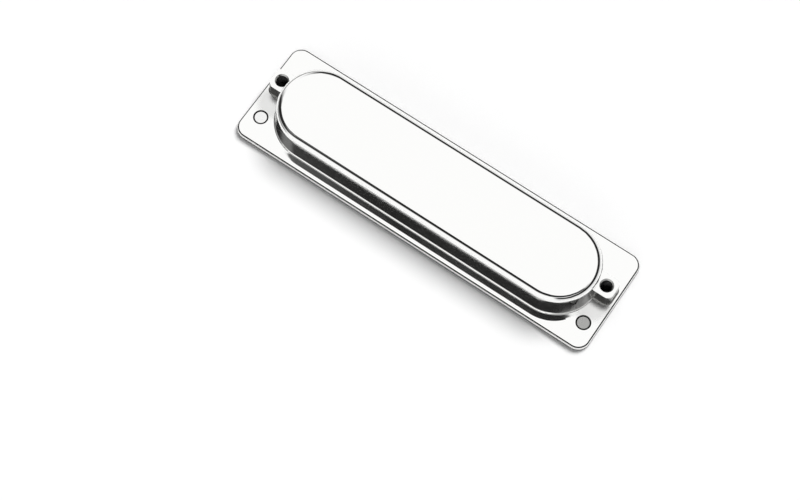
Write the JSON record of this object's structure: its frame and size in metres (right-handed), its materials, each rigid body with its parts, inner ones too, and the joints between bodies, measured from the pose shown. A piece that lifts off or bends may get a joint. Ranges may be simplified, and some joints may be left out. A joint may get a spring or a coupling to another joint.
{
  "type": "sliding door flush pull handle",
  "caption": "Rectangular flush pull for a sliding door, with a long round-ended finger recess in a plain face, and tapped screw bosses on the back.",
  "frame": {"origin": "centre of the front face, which lies on the floor", "axes": "+X along the handle, +Y across it towards the side that the screw holes are offset to, +Z out of the back, into the door"},
  "size_m": [0.1496, 0.0416, 0.0145],
  "materials": {
    "plated_zinc": "bright plating on the back, satin on the face and in the recess"
  },
  "bodies": {
    "root": {"handle_casting": "plated_zinc"}
  },
  "joints": []
}
